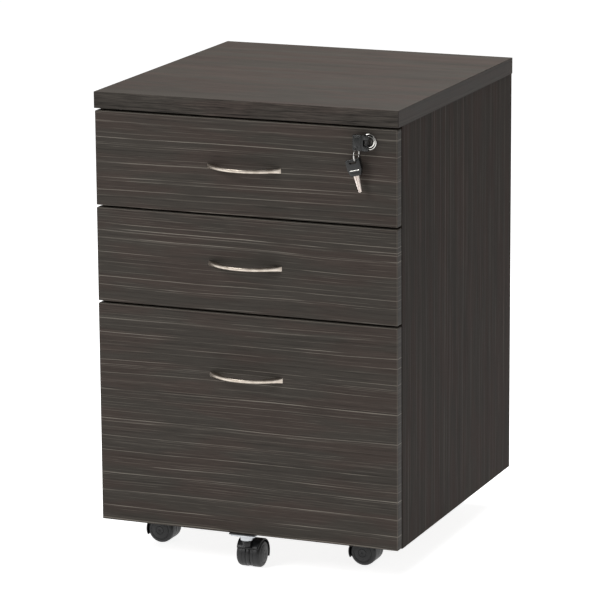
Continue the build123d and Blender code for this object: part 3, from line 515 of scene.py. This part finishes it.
SLOT_FINISH = {"box_board": BOX_FINISH, "satin_nickel": NICKEL, "lock_nickel": LOCK_METAL,
               "zinc": ZINC, "key_steel": STEEL, "black_steel": BLACK_STEEL,
               "black_plastic": CASTER_PLASTIC, "white_plastic": WHITE_PLASTIC,
               "board": BOTTOM_FINISH}
NODE_FINISH = {"top_panel": TOP_FINISH_PAINTED_LIGHT, "left_side_panel": SIDE_FINISH_PAINTED_SHADE,
               "right_side_panel": SIDE_FINISH_PAINTED_SHADE, "back_panel": BACK_FINISH,
               "lock_plug": PLUG_METAL, "case_runner_members": RUNNER_ZINC}
NODE_FINISH.update({drawer + "_front": finish for drawer, finish in FRONT_FINISHES.items()})
NODE_FINISH.update({drawer + part: RUNNER_ZINC for drawer in FRONT_FINISHES
                    for part in ("_runner_members", "_middle_members")})


def paint_node(node, finish):
    """Give a CAD node one finish."""
    piece = frame["nodes"][node]
    if not piece.material_slots:
        piece.data.materials.append(finish)
    for slot in piece.material_slots:
        slot.material = finish


for node, slot in NODE_SLOT.items():
    paint_node(node, NODE_FINISH.get(node, SLOT_FINISH[slot]))


# --- Handles ---
def handle(drawer):
    """Waisted flat-oval bow with a solid foot at each end.

    Sections stand square to X. Each spans from the outer arc to the inner arc, or to the face
    of the front at the feet, and is a superellipse |y/a|^n + |z/b|^n = 1 whose height follows
    the waist's arc. The last sections close in quickly, which rounds the ends.
    """
    low, high = corners(drawer + "_handle")
    middle = (low[2] + high[2]) / 2
    face, reach, half = high[1], high[1] - low[1], (high[0] - low[0]) / 2
    foot, bow, waist, full = 13 * MM, 3.6 * MM, 4.8 * MM, high[2] - low[2] - 1.6 * MM

    def arc(x, chord, rise):
        """Distance of an arc from its chord, at x, for half a chord and its rise."""
        radius = (chord ** 2 + rise ** 2) / (2 * rise)
        return np.sqrt(np.maximum(radius ** 2 - x ** 2, 0)) - radius + rise

    s = np.sin(np.linspace(-np.pi / 2, np.pi / 2, 121))
    x = s * (half - 0.12 * MM)
    outer = np.maximum(arc(x, half, reach), 0)
    inner = np.where(np.abs(x) < half - foot, arc(x, half - foot, reach - bow), 0)
    rounding = np.sqrt(np.clip((half - np.abs(x)) / (1.4 * MM), 0, 1) * 0.86 + 0.14)
    depth = np.maximum((outer - inner) / 2, 0.35 * MM)
    height = (full - arc(x, half, full - waist)) / 2 * (0.82 + 0.18 * rounding)
    around = np.linspace(0, 2 * np.pi, 40, endpoint=False)
    across, above = np.cos(around), np.sin(around)
    power = 2 / 3.2
    square_y = np.sign(across) * np.abs(across) ** power
    square_z = np.sign(above) * np.abs(above) ** power
    points = np.empty((len(x), len(around), 3))
    points[..., 0] = x[:, None]
    points[..., 1] = np.minimum(face - ((outer + inner) / 2)[:, None] + depth[:, None] * square_y,
                                face - 0.02 * MM)
    points[..., 2] = middle + height[:, None] * square_z
    points[..., 0] -= (np.sign(x) * 0.5 * MM)[:, None] * (1 - rounding)[:, None]
    piece = surface(drawer + "_bow", points, around=True, ends=True)
    finished(piece, NICKEL, drawer + "_handle")


def finished(piece, finish, *nodes):
    """Paint a piece and put it in the place of its CAD nodes."""
    piece.data.materials.clear()
    piece.data.materials.append(finish)
    place(piece, *nodes)


for drawer in FRONT_FINISHES:
    handle(drawer)


# --- Casters ---
def wheel(node, sign):
    """A twin-wheel half: axle hole, tread, rounded shoulder, dished face and a hub cap.

    The profile is (distance from the inner face, radius); it turns round the axle.
    """
    low, high = corners(node)
    middle = (low + high) / 2
    radius = (high[2] - low[2]) / 2
    span = high - low
    axis = np.array([0, 1, 0]) if span[1] < span[0] else np.array([1, 0, 0])
    width = span @ axis
    outward = axis * sign
    inner_face = middle - outward * width / 2
    r, w = radius / MM, width / MM
    line = [(w - 3.0, 0), (w - 3.0, 2.6), (0, 2.6), (0, 9.0), (1.2, 9.6), (1.2, r - 4.2),
            (0.0, r - 3.6), (0, r - 0.8)]
    line += [(0.8 - 0.8 * math.cos(a), r - 0.8 + 0.8 * math.sin(a))
             for a in np.linspace(0.2, math.pi / 2, 6)]
    line += [(w * 0.30, r), (w * 0.302, r - 0.35), (w * 0.338, r - 0.35), (w * 0.34, r)]
    line += [(w - 6.6 + 5.0 * math.sin(a), r - 5.0 + 5.0 * math.cos(a))
             for a in np.linspace(0.0, math.pi / 2, 9)]
    line += [(w - 1.55, r - 5.4), (w - 1.9, r - 5.7), (w - 1.9, r - 6.5), (w - 1.3, r - 6.9)]
    line += [(w - 1.3 + 1.1 * (1 - t ** 2), 6.6 + (r - 13.9) * t) for t in np.linspace(0.95, 0, 7)]
    line += [(w - 0.55, 6.3), (w - 0.55, 5.9), (w - 0.05, 5.5)]
    line += [(w - 0.05 - 0.25 * (1 - math.cos(a)), 5.4 * math.cos(a)) for a in (0.4, 0.8, 1.1)]
    line += [(w - 0.25, 1.6), (w - 0.9, 1.45), (w - 0.95, 0.0)]
    piece = turned(node + "_shape", np.array(line) * MM, inner_face, outward)
    finished(piece, TREAD_PLASTIC, node)


def caster_body(caster, trail):
    """Hood over the wheels with rounded rims, web between them, boss, collar and axle."""
    low, high = corners(caster + "_body")
    wheel_low, wheel_high = corners(caster + "_left_wheel")
    ahead = np.array([math.cos(trail), math.sin(trail), 0.0]).round(6)
    side = np.array([-ahead[1], ahead[0], 0.0])
    radius = (wheel_high[2] - wheel_low[2]) / 2
    body_middle = (low + high) / 2
    wheel_middle = (wheel_low + wheel_high) / 2
    hub = wheel_middle * np.abs(ahead) + body_middle * np.abs(side)
    hub[2] = radius
    inner, outer, half = radius + 1.2 * MM, radius + 3.0 * MM, 18.5 * MM

    # Hood: the wall's section is carried round the axle from the lip to the nose. It flares
    # towards the lip, and its width narrows a little over the kingpin.
    wall = [(-half, inner), (-half, inner + 1.0 * MM), (-half + 0.3 * MM, outer - 0.45 * MM),
            (-half + 1.2 * MM, outer + 0.0 * MM), (-half + 3.2 * MM, outer + 0.0 * MM),
            (-half * 0.5, outer), (0, outer), (half * 0.5, outer), (half - 3.2 * MM, outer),
            (half - 1.2 * MM, outer), (half - 0.3 * MM, outer - 0.45 * MM),
            (half, inner + 1.0 * MM), (half, inner), (half - 1.5 * MM, inner),
            (0, inner), (-half + 1.5 * MM, inner)]
    wall = np.array(wall)
    angle = np.radians(np.linspace(-24, 150, 73))
    turn_ahead, turn_up = np.cos(angle), np.sin(angle)
    share = np.linspace(0, 1, len(angle))
    rim = np.minimum(share, 1 - share) * np.radians(174) * radius
    thin = 1 - 0.55 * np.exp(-rim / (0.9 * MM))
    narrow = 1 - 0.10 * np.clip((share - 0.55) / 0.45, 0, 1) ** 2
    radial = inner + (wall[None, :, 1] - inner) * thin[:, None]
    points = (hub + wall[None, :, :1] * narrow[:, None, None] * side
              + (radial * turn_ahead[:, None])[..., None] * ahead
              + (radial * turn_up[:, None])[..., None] * np.array([0, 0, 1.0]))
    hood = surface("hood", points, around=True, ends=True)

    # Web: a disc flush with the treads and cut flat near the floor, with a rounded rim. Inside
    # the hood's span its radius grows by the mask m, until it is in the wall.
    flat = math.asin((radius - 3 * MM) / radius)
    sweep = np.linspace(-flat, math.pi + flat, 120)
    mask = 1 / (1 + np.exp(-(sweep - math.radians(-20)) / 0.02))
    mask = mask / (1 + np.exp((sweep - math.radians(147)) / 0.02))
    reach = radius - 0.1 * MM + (inner + 0.9 * MM - radius) * mask
    outline = reach[:, None] * np.stack([np.cos(sweep), np.sin(sweep)], axis=1)
    web = slab("web", outline, (hub, ahead, (0, 0, 1), side), 6 * MM, 0.25 * MM)

    # Boss, its collar and the axle are turned.
    pin = body_middle * np.abs(side) + hub * np.abs(ahead) - ahead * 20 * MM
    pin[2] = 0
    top, boss = high[2], 6.25 * MM
    boss_line = [(35.5 * MM, 0), (35.5 * MM, boss - 0.8 * MM), (36.1 * MM, boss),
                 (top - 1.0 * MM, boss), (top - 0.4 * MM, boss - 0.3 * MM), (top, boss - 0.9 * MM),
                 (top, 3.1 * MM), (37 * MM, 3.1 * MM), (37 * MM, 0)]
    boss_piece = turned("boss", boss_line, pin, (0, 0, 1), 48)
    axle_half = 16.5 * MM
    axle_line = [(-axle_half, 0), (-axle_half, 2.2 * MM), (-axle_half + 0.3 * MM, 2.5 * MM),
                 (axle_half - 0.3 * MM, 2.5 * MM), (axle_half, 2.2 * MM), (axle_half, 0)]
    axle = turned("axle", axle_line, hub, side, 32)
    piece = joined(caster + "_shell", [hood, web, boss_piece, axle])
    finished(piece, CASTER_PLASTIC, caster + "_body")


CASTERS = {caster: math.pi for caster in ("front_left_caster", "front_right_caster",
                                          "rear_left_caster", "rear_right_caster")}
CASTERS["fifth_caster"] = math.pi / 2
for caster, trail in CASTERS.items():
    left_low, left_high = corners(caster + "_left_wheel")
    right_low, right_high = corners(caster + "_right_wheel")
    way = np.sign(((right_low + right_high) - (left_low + left_high)).sum())
    wheel(caster + "_left_wheel", -way)
    wheel(caster + "_right_wheel", way)
    caster_body(caster, trail)


# --- Lock and keys ---
def rounded_box(name, low, high, edge, steps=5):
    """A box whose section across Y is a rounded rectangle; its Y ends are rounded off too.

    Sections shrink towards both ends by edge * (1 - cos t) as y moves by edge * (1 - sin t).
    """
    low, high = np.asarray(low, float), np.asarray(high, float)
    square = bend_corners([(low[0], low[2]), (high[0], low[2]), (high[0], high[2]),
                           (low[0], high[2])], edge, steps, closed=True)
    middle = (low + high) / 2
    plane = ((0, middle[1], 0), (1, 0, 0), (0, 0, 1), (0, 1, 0))
    return slab(name, square, plane, high[1] - low[1], min(edge, (high[1] - low[1]) * 0.35))


def rosette():
    """Polished ring round the plug, with a hollow slope inside a rolled outer rim."""
    low, high = corners("lock_barrel")
    middle = (low + high) / 2
    centre = np.array([middle[0], 0, middle[2]])
    face = corners("top_drawer_front")[0][1] / MM
    front, back, bore, rim = low[1] / MM, high[1] / MM, 6.3, 11.5
    line = [(back, bore), (front + 0.9, bore), (front + 0.25, bore + 0.3),
            (front + 0.2, bore + 0.9), (front + 0.75, bore + 1.6),
            (front + 0.95, bore + 2.6), (front + 0.6, bore + 3.4)]
    line += [(front + 0.75 - 0.75 * math.cos(a), rim - 1.0 + 1.0 * math.sin(a))
             for a in np.linspace(-0.9, math.pi / 2, 9)]
    line += [(face, rim - 0.05), (face, 9.0), (back - 0.4, 9.0), (back, 8.6), (back, bore)]
    piece = turned("lock_rosette", np.array(line) * MM, centre, (0, 1, 0), 96)
    finished(piece, LOCK_METAL, "lock_barrel")


def ring():
    """A split ring: two turns of one wire that lie side by side and cross over at the top."""
    low, high = corners("key_ring")
    middle = (low + high) / 2
    radius, wire = (high[2] - low[2]) / 2 - 0.8 * MM, 0.42 * MM
    turn = np.linspace(0, 4 * np.pi, 190)
    shift = 0.4 * MM * np.tanh((turn - 2 * np.pi) / 0.45)
    path = np.stack([middle[0] + shift, middle[1] + radius * np.sin(turn),
                     middle[2] + radius * np.cos(turn)], axis=1)
    finished(tube("split_ring", path, wire, 12), WIRE, "key_ring")


def key_grip():
    """Folding head: a rounded slab, a raised pad, a groove by the hinge and a fork round it."""
    low, high = corners("key_head")
    hinge = (corners("key_blade")[0][0] + corners("key_blade")[1][0]) / 2
    middle = (low + high) / 2
    tab = middle[2] + np.array([-0.5, 0.5]) * 8.4 * MM
    thick, front = 6.0 * MM, middle[1] - 3.0 * MM
    groove = hinge - 6.1 * MM
    parts = [rounded_box("slab", (low[0], front, low[2]),
                         (groove - 0.5 * MM, front + thick, high[2]), 1.5 * MM),
             rounded_box("pad", (low[0] + 2.2 * MM, front - 0.45 * MM, low[2] + 6.2 * MM),
                         (groove - 2.0 * MM, front + thick + 0.4 * MM, high[2] - 2.4 * MM),
                         1.2 * MM),
             rounded_box("neck", (groove - 1.6 * MM, front + 0.9 * MM, low[2] + 0.8 * MM),
                         (hinge - 3.9 * MM, front + thick - 0.9 * MM, high[2] - 0.8 * MM),
                         0.5 * MM),
             rounded_box("post", (groove + 0.5 * MM, front, low[2] + 0.2 * MM),
                         (hinge - 3.9 * MM, front + thick, high[2] - 0.2 * MM), 0.6 * MM)]
    for bottom, top in ((low[2], tab[0]), (tab[1], high[2])):
        long = top - bottom
        barrel = [(0, 0), (0, 3.1 * MM), (0.5 * MM, 3.7 * MM), (1.0 * MM, 3.8 * MM),
                  (long - 1.0 * MM, 3.8 * MM), (long - 0.5 * MM, 3.7 * MM), (long, 3.1 * MM),
                  (long, 0)]
        parts.append(turned("barrel", barrel, np.array([hinge, middle[1], bottom]), (0, 0, 1), 40))
        parts.append(rounded_box("arm", (hinge - 5.0 * MM, front + 0.2 * MM, bottom + 0.2 * MM),
                                 (hinge - 0.4 * MM, front + thick - 0.2 * MM, top - 0.2 * MM),
                                 0.7 * MM))
    eye = [(-thick / 2 - 0.3 * MM, 2.5 * MM), (-thick / 2 - 0.5 * MM, 2.9 * MM),
           (-thick / 2 - 0.3 * MM, 3.5 * MM), (thick / 2 + 0.3 * MM, 3.5 * MM),
           (thick / 2 + 0.5 * MM, 2.9 * MM), (thick / 2 + 0.3 * MM, 2.5 * MM),
           (-thick / 2 - 0.3 * MM, 2.5 * MM)]
    hole = np.array([corners("key_ring")[0][0] + 0.8 * MM, middle[1], middle[2] - 7.5 * MM])
    parts.append(turned("eye", eye, hole, (0, 1, 0), 40))
    finished(joined("key_grip_shape", parts), KEY_PLASTIC, "key_head")


def spare():
    """The spare key hangs tilted: a tapered head with a slot, a ridge across it, and its blade."""
    ring_low, ring_high = corners("key_ring")
    tilt = math.radians(14)
    origin = np.array([(ring_low[0] + ring_high[0]) / 2, (ring_low[1] + ring_high[1]) / 2,
                       ring_low[2] + 0.8 * MM])
    across = np.array([math.cos(tilt), 0, math.sin(tilt)])
    up = np.array([-math.sin(tilt), 0, math.cos(tilt)])
    plane = (origin, across, up, (0, -1, 0))
    mid, top = -4.4, 4.8
    bottom, shoulder = top - 24, top - 0.62 * 24
    shape = [(mid - 11, top), (mid + 11, top), (mid + 11, shoulder), (mid + 7.5, bottom),
             (mid - 7.5, bottom), (mid - 11, shoulder)]
    outline = bend_corners(np.array(shape) * MM, 2.0 * MM, 6, closed=True)
    middle = np.array([mid, 0]) * MM
    angle = np.unwrap(np.arctan2(*(outline - middle).T[::-1]))
    hole = middle + np.stack([4.0 * MM * np.tanh(2.2 * np.cos(angle)) + 2.0 * MM * np.cos(angle),
                              2.0 * MM * np.sin(angle)], axis=1)
    head = slab("head", outline, plane, 6 * MM, 0.9 * MM, hole=hole)
    ridge_low, ridge_high = bottom + 7.4, bottom + 8.6
    # Painted highlight: the ridges on both faces of the head are finished in bright lock metal for
    # the light that the black ridge catches.
    parts, ridge_highlight = [head], []
    for side in (-1, 1):
        shift = np.array([0, side * 3.0 * MM, 0])
        ridge_plane = (origin + shift, across, up, (0, -1, 0))
        bar = bend_corners(np.array([(mid - 7.6, ridge_low), (mid + 7.6, ridge_low),
                                     (mid + 7.6, ridge_high), (mid - 7.6, ridge_high)]) * MM,
                           0.5 * MM, 4, closed=True)
        ridge_highlight.append(slab("ridge", bar, ridge_plane, 0.9 * MM, 0.35 * MM))
        collar = bend_corners(np.array([(mid - 6.4, bottom + 1.0), (mid + 6.4, bottom + 1.0),
                                        (mid + 7.4, bottom + 5.6), (mid - 7.4, bottom + 5.6)]) * MM,
                              1.0 * MM, 4, closed=True)
        parts.append(slab("collar", collar, ridge_plane, 0.6 * MM, 0.25 * MM))
    finished(joined("spare_grip", parts), KEY_PLASTIC, "spare_key_head")
    finished(joined("spare_inlay", ridge_highlight), LOCK_METAL, "spare_key_head")

    # Blade: flat steel with a groove along each face and a pointed, rounded tip.
    length = 24.0
    half, tip = 4.25, 2.7
    v = np.linspace(0, 1, 60)
    wide = (half + (tip - half) * v) * np.sqrt(np.clip((1 - v) / 0.05, 0.02, 1))
    notch = 0.42 * np.clip(np.sin(v * 31.0) * 1.5, 0, 1) * (v > 0.25) * (v < 0.9)
    section = np.array([(-1, 0.0), (-1, 0.6), (-0.8, 1), (-0.3, 1), (-0.18, 0.45), (0.18, 0.45),
                        (0.3, 1), (0.8, 1), (1, 0.6), (1, -0.6), (0.8, -1), (0.3, -1),
                        (0.18, -0.45), (-0.18, -0.45), (-0.3, -1), (-0.8, -1), (-1, -0.6)])
    level = bottom + 0.5 - (length + 0.5) * v
    x = section[None, :, 0] * wide[:, None] - np.where(section[None, :, 0] < -0.5,
                                                      -notch[:, None], 0)
    y = np.broadcast_to(section[None, :, 1] * 1.1, x.shape)
    points = (origin + ((mid + x) * MM)[..., None] * across
              + (level * MM)[:, None, None] * up + (y * MM)[..., None] * np.array([0, -1.0, 0]))
    finished(surface("spare_steel", points, around=True, ends=True), STEEL, "spare_key_blade")


rosette()
ring()
key_grip()
spare()
finished(softened("key_blade", 0.25 * MM), HINGE, "key_blade")


# --- Room, light and camera ---
WORLD_LIGHT, FLOOR_GLOW, FLOOR_HALF = 0.18, 0.86, 9


def room():
    """A pale floor that glows a little, so that it stays even, and soft lights round it."""
    world = bpy.data.worlds.new("room")
    world.use_nodes = True
    world.node_tree.nodes["Background"].inputs["Color"].default_value = (1, 1, 1, 1)
    world.node_tree.nodes["Background"].inputs["Strength"].default_value = WORLD_LIGHT
    bpy.context.scene.world = world
    mesh = bpy.data.meshes.new("floor")
    square = [(-1, -1, 0), (1, -1, 0), (1, 1, 0), (-1, 1, 0)]
    mesh.from_pydata([(FLOOR_HALF * x, FLOOR_HALF * y, z) for x, y, z in square], [],
                     [(0, 1, 2, 3)])
    floor = bpy.data.objects.new("floor", mesh)
    bpy.context.scene.collection.objects.link(floor)
    pale = Finish("floor_paint", Roughness=0.9)
    pale.shader.inputs["Base Color"].default_value = (0.8, 0.8, 0.8, 1)
    pale.shader.inputs["Emission Color"].default_value = (1, 1, 1, 1)
    pale.shader.inputs["Emission Strength"].default_value = FLOOR_GLOW
    mesh.materials.append(pale.material)
    bpy.context.scene.view_settings.view_transform = "Standard"


def softbox(name, place, aim, size, power):
    """A square lamp at place that faces aim."""
    light = bpy.data.lights.new(name, "AREA")
    light.size, light.energy = size, power
    lamp = bpy.data.objects.new(name, light)
    facing = (Vector(aim) - Vector(place)).to_track_quat("-Z", "Y").to_matrix().to_4x4()
    lamp.matrix_world = Matrix.Translation(place) @ facing
    bpy.context.scene.collection.objects.link(lamp)


def camera(place, azimuth, elevation, roll, lens):
    """A camera that looks along the direction given by azimuth from +Y and elevation down."""
    a, e, t = (math.radians(angle) for angle in (azimuth, elevation, roll))
    ahead = Vector((-math.sin(a) * math.cos(e), math.cos(a) * math.cos(e), -math.sin(e)))
    right = Vector((math.cos(a), math.sin(a), 0))
    up = right.cross(ahead)
    across = math.cos(t) * right + math.sin(t) * up
    above = math.cos(t) * up - math.sin(t) * right
    eye = bpy.data.cameras.new("camera")
    eye.lens, eye.sensor_width = lens, 36
    eye.clip_end = 50
    seat = bpy.data.objects.new("camera", eye)
    turn = Matrix((across, above, -ahead)).transposed().to_4x4()
    seat.matrix_world = Matrix.Translation(place) @ turn
    bpy.context.scene.collection.objects.link(seat)
    bpy.context.scene.camera = seat


room()
softbox("key", (-1.7, -2.7, 2.4), (0, -0.1, 0.4), 1.5, 62)
softbox("top_light", (0.3, 0.9, 2.6), (0, 0, 0.6), 1.8, 60)
camera((2.0042, -4.9047, 1.5930), 22.33, 13.13, -0.41, 219.7)
